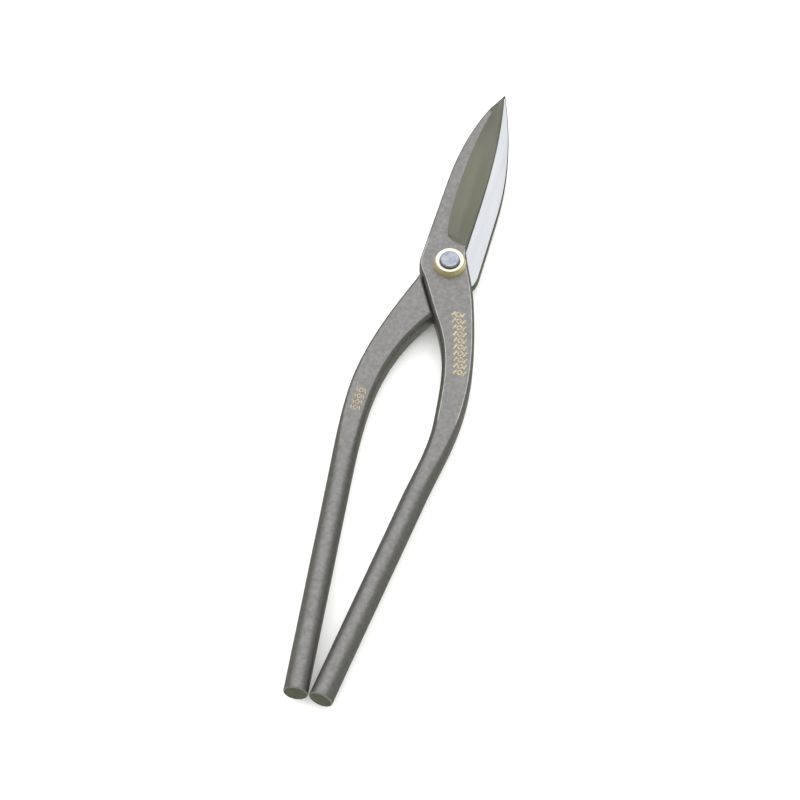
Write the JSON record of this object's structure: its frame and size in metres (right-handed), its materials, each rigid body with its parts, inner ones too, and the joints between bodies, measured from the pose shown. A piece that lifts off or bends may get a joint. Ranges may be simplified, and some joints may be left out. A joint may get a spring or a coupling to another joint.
{
  "type": "sheet metal snips",
  "caption": "Forged hand snips with short pointed lapped blades, a riveted pivot on conical brass washers, and long bowed handles that end in straight round rods.",
  "frame": {"origin": "on the pivot axis, at the end face of the rear rivet head, which is what the snips rest on", "axes": "+Z along the pivot axis towards the front face, +Y towards the blade tips, +X towards the front lever's handle"},
  "size_m": [0.0434, 0.2692, 0.016],
  "materials": {
    "forged_steel": "satin, ground forging",
    "hard_steel": "polished",
    "rivet_steel": "planished, bright",
    "brass": "turned, bright"
  },
  "bodies": {
    "front": {"front_lever": "forged_steel", "front_edge_steel": "hard_steel", "pivot_rivet": "rivet_steel", "front_washer": "brass", "rear_washer": "brass"},
    "rear": {"rear_lever": "forged_steel", "rear_edge_steel": "hard_steel"}
  },
  "joints": [
    {"name": "pivot", "type": "hinge", "parent": "front", "child": "rear", "pos_m": [0, 0, 0.00805], "axis": [0, 0, -1], "range_deg": [0, 40]}
  ]
}
